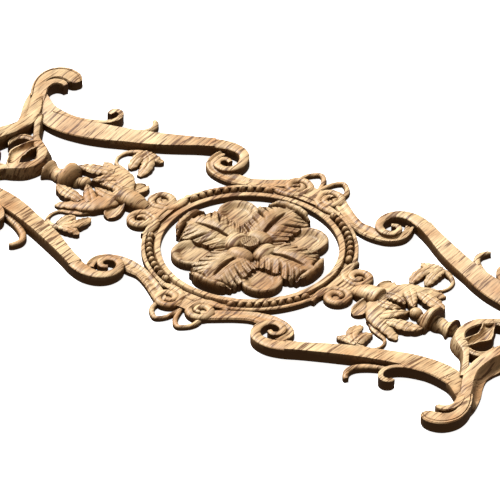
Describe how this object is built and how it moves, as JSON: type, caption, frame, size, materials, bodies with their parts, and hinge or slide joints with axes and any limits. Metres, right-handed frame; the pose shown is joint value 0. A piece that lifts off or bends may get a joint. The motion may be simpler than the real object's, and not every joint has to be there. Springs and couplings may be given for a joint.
{
  "type": "carved wooden rosette onlay",
  "caption": "Carved wooden rosette of leaves and petals set loose in a beaded ring, inside a long pierced scrollwork frame; flat back.",
  "frame": {"origin": "centre of the flat back, under the middle of the rosette", "axes": "+X along the long axis of the scrollwork, +Y across it, +Z out of the carved face"},
  "size_m": [0.8216, 0.3688, 0.0241],
  "materials": {
    "frame_wood": "bare carved wood with dark pores, darker in the deep cuts",
    "rosette_wood": "bare carved wood, a little darker than the frame"
  },
  "bodies": {
    "root": {"rosette": "rosette_wood", "scroll_frame": "frame_wood"}
  },
  "joints": []
}
